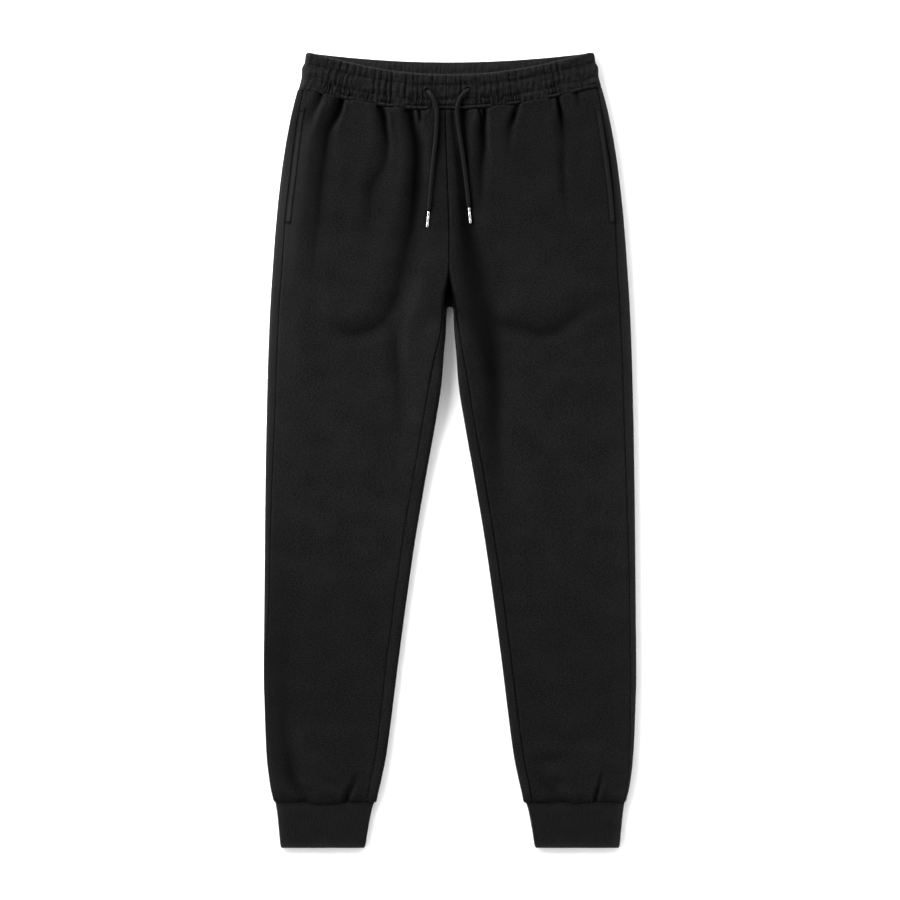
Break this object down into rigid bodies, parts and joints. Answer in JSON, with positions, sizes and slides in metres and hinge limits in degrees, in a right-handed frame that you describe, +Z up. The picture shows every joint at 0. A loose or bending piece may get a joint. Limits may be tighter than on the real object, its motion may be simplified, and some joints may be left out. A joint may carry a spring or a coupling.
{
  "type": "jogger sweatpants",
  "caption": "Jogger sweatpants laid flat, front up: gathered elastic waistband with drawcord, in-seam pockets, tapered legs and rib knit cuffs.",
  "frame": {"origin": "under the middle of the whole garment, on the surface that it lies on", "axes": "+X to the right of a person who looks down at the front, +Y towards the waistband, +Z up from the surface"},
  "size_m": [0.4758, 1.0176, 0.0171],
  "materials": {
    "fleece": "brushed black fleece",
    "waistband": "gathered black fleece over elastic",
    "pocket_ply": "black fleece",
    "rib_knit": "black rib knit",
    "cord": "braided black cord",
    "cord_tip": "bright metal"
  },
  "bodies": {
    "root": {"front_left": "fleece", "front_right": "fleece", "back_left": "fleece", "back_right": "fleece", "pocket_left": "pocket_ply", "pocket_right": "pocket_ply", "waistband": "waistband", "cuff_left": "rib_knit", "cuff_right": "rib_knit", "drawcord_left": "cord", "drawcord_right": "cord", "aglet_left": "cord_tip", "aglet_right": "cord_tip"}
  },
  "joints": []
}
